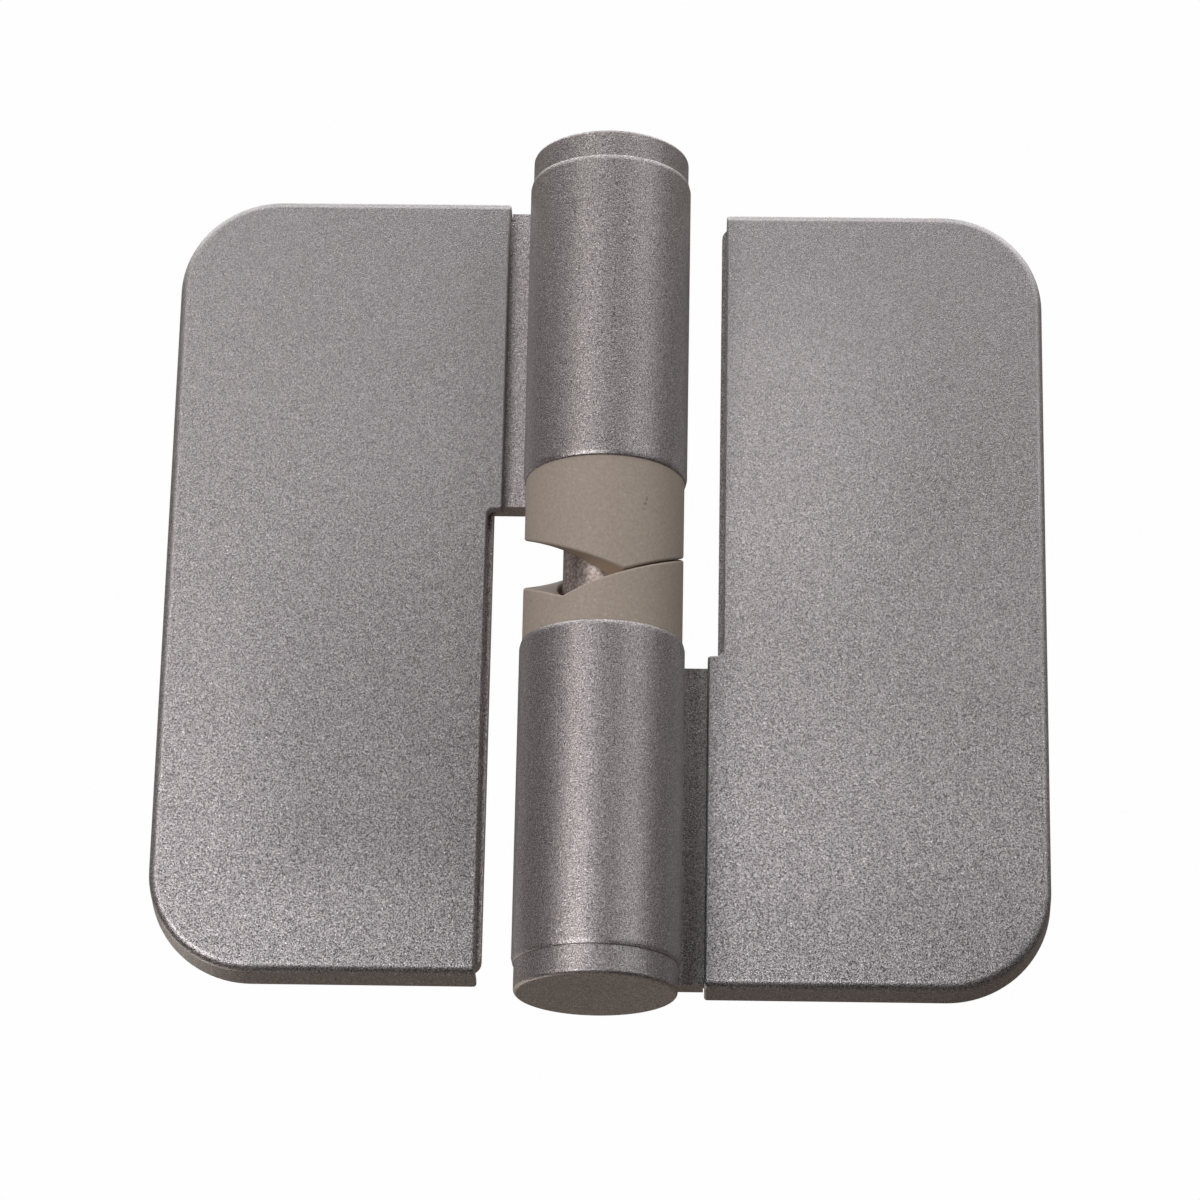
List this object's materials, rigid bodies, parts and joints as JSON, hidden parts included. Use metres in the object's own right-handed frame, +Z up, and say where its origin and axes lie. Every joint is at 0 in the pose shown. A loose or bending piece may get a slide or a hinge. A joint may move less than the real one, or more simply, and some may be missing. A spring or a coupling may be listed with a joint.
{
  "type": "self-closing gravity hinge",
  "caption": "Two-leaf surface-mounted gravity hinge with a round barrel, V-shaped nylon lift cams and clipped leaf covers.",
  "frame": {"origin": "on the hinge axis, half way up the barrel and half way between the two knuckles as the hinge lies; the middle of the overall box is 0.4 mm behind it", "axes": "+Z up along the hinge axis, +X from the door leaf towards the frame leaf, +Y out of the backs of the leaves towards the door and the frame"},
  "size_m": [0.087, 0.0168, 0.0864],
  "materials": {
    "leaf_paint": "satin silver-grey metallic enamel with a fine grain",
    "cover_paint": "satin silver-grey metallic enamel with a fine grain",
    "cap_paint": "satin silver-grey metallic enamel",
    "cam_nylon": "matte greige nylon",
    "pin_steel": "turned steel"
  },
  "bodies": {
    "frame": {"frame_leaf": "leaf_paint", "frame_leaf_cover": "cover_paint", "lower_cam": "cam_nylon", "bottom_cap": "cap_paint"},
    "pin": {"hinge_pin": "pin_steel"},
    "door": {"door_leaf": "leaf_paint", "door_leaf_cover": "cover_paint", "upper_cam": "cam_nylon", "top_cap": "cap_paint"}
  },
  "joints": [
    {"name": "swing", "type": "hinge", "parent": "frame", "child": "pin", "pos_m": [0, 0, 0], "axis": [0, 0, 1], "range_deg": [-45, 135]},
    {"name": "rise", "type": "slide", "parent": "pin", "child": "door", "axis": [0, 0, 1], "range_m": [-0.0025, 0.0073]}
  ],
  "couplings": [
    {"joint": "rise", "follows": "swing", "m_per_rad": 0.0030239}
  ]
}
